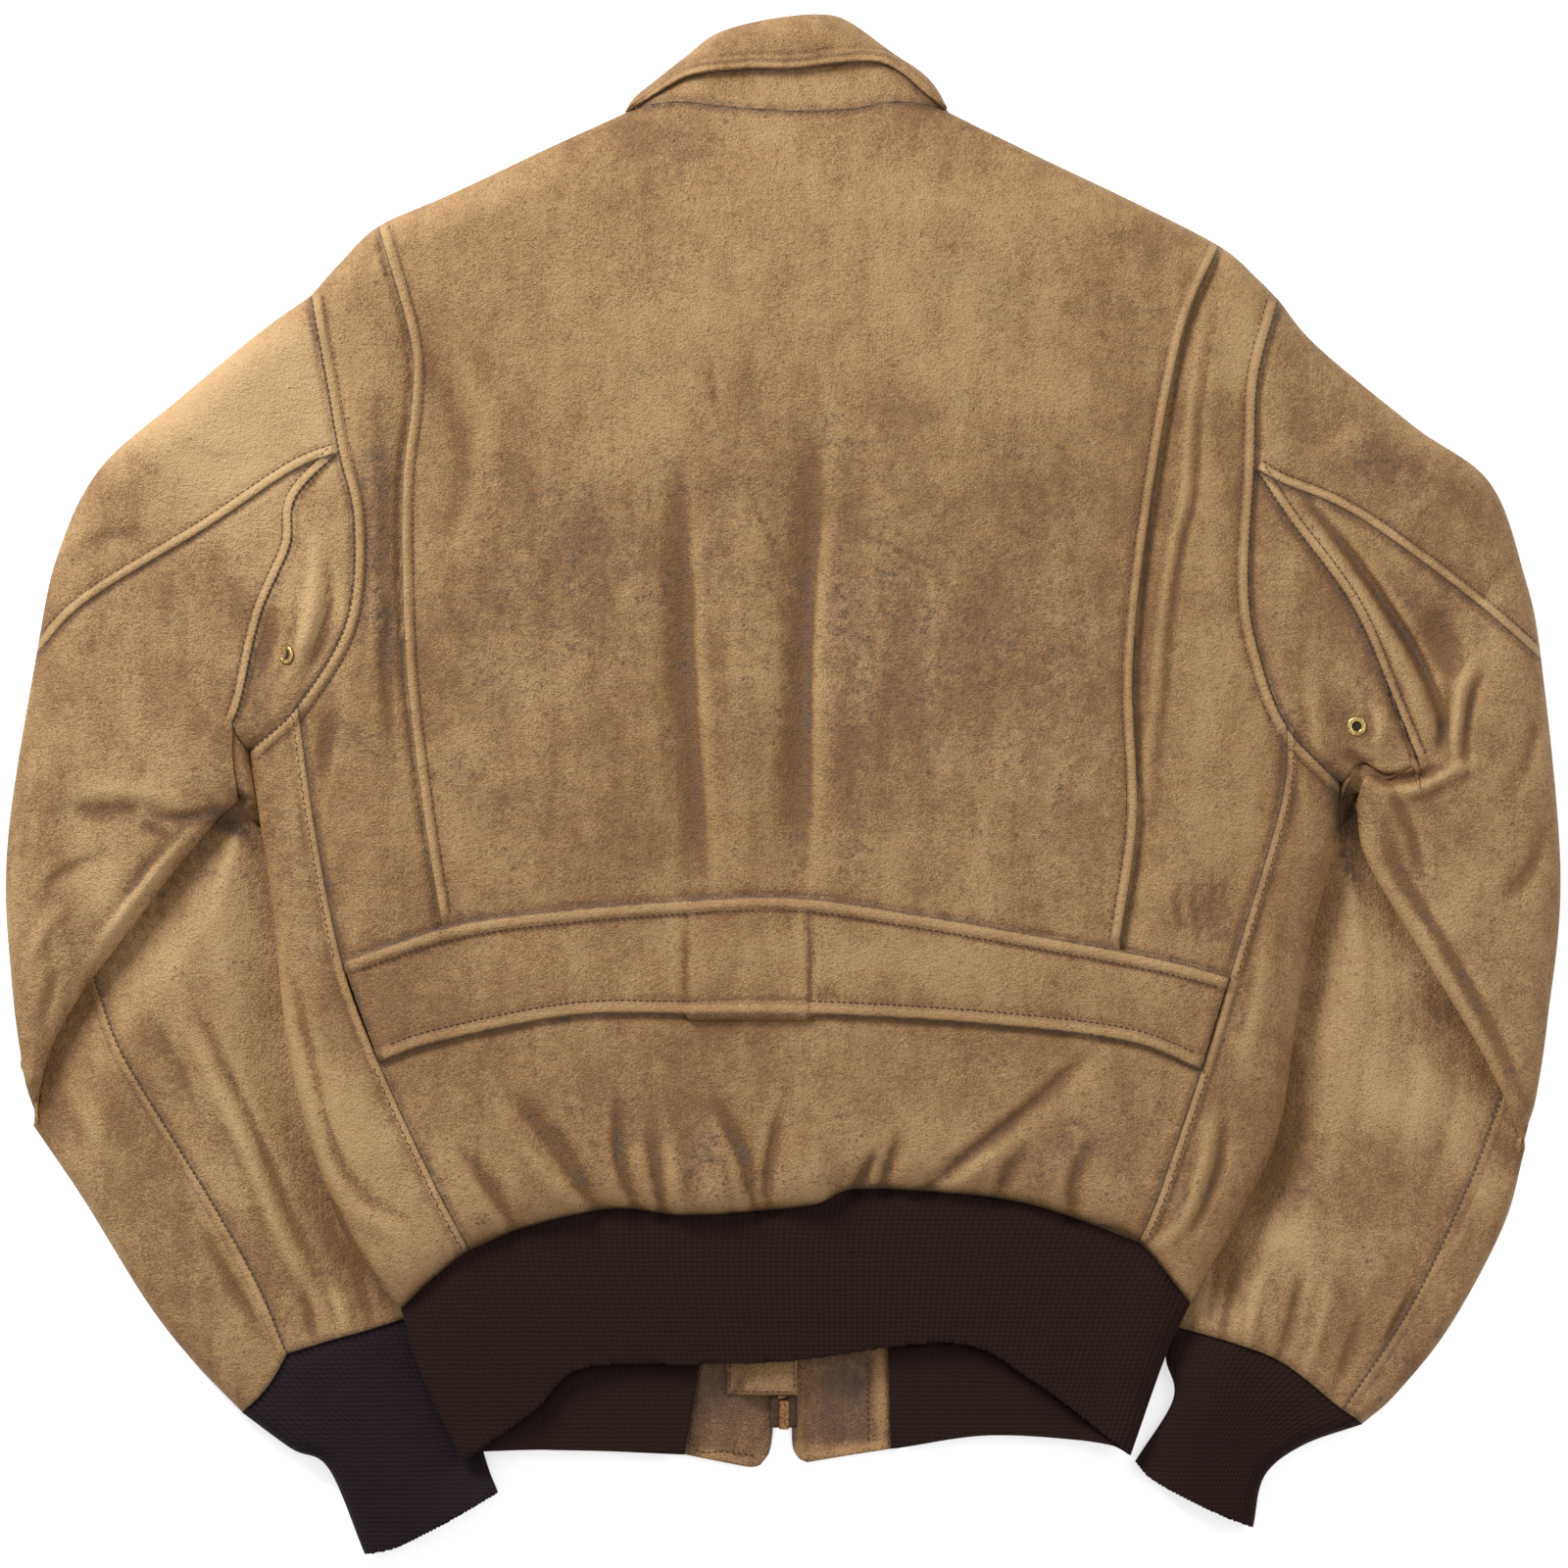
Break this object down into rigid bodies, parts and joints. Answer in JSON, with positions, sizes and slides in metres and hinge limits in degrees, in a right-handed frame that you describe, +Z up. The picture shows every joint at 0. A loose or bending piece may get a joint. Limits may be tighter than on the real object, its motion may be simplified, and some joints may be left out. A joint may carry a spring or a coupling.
{
  "type": "leather jacket",
  "caption": "Worn tan leather jacket with dark knit waistband and cuffs, laid face down with its sleeves folded in; its zip pull turns.",
  "frame": {"origin": "centre of the jacket's outline, on the surface it lies on", "axes": "+Z up, out of the jacket's back; +Y towards its collar; -X towards the wearer's left sleeve"},
  "size_m": [0.8089, 0.8016, 0.0303],
  "materials": {
    "leather_back": "worn, softly creased",
    "leather_sleeve": "worn, softly creased",
    "leather_dark": "smooth",
    "knit": "ribbed wool knit",
    "brass": "polished, dulled",
    "tape": "woven cotton",
    "metal": "dull"
  },
  "bodies": {
    "jacket": {"back_centre": "leather_back", "back_side_left": "leather_back", "back_side_right": "leather_back", "back_belt": "leather_back", "back_skirt": "leather_back", "front_left": "leather_back", "front_right": "leather_back", "collar_stand": "leather_back", "collar_fall": "leather_back", "collar_leaf_left": "leather_back", "collar_leaf_right": "leather_back", "collar_stand_front_left": "leather_back", "collar_stand_front_right": "leather_back", "sleeve_top_left": "leather_sleeve", "sleeve_top_right": "leather_sleeve", "sleeve_under_left": "leather_sleeve", "sleeve_under_right": "leather_sleeve", "forearm_left": "leather_sleeve", "forearm_right": "leather_sleeve", "gusset_left": "leather_sleeve", "gusset_right": "leather_sleeve", "waist_tab_left": "leather_dark", "waist_tab_right": "leather_dark", "wind_flap": "leather_dark", "waistband": "knit", "cuff_left": "knit", "cuff_right": "knit", "eyelet_left": "brass", "eyelet_right": "brass", "zip_tape_left": "tape", "zip_tape_right": "tape", "zip_teeth": "metal", "zip_box": "metal", "zip_slider": "metal"},
    "pull": {"zip_pull": "metal"}
  },
  "joints": [
    {"name": "zip_pull_hinge", "type": "hinge", "parent": "jacket", "child": "pull", "pos_m": [0, 0.2795, 0.0025], "axis": [1, 0, 0], "range_deg": [0, 170]}
  ]
}
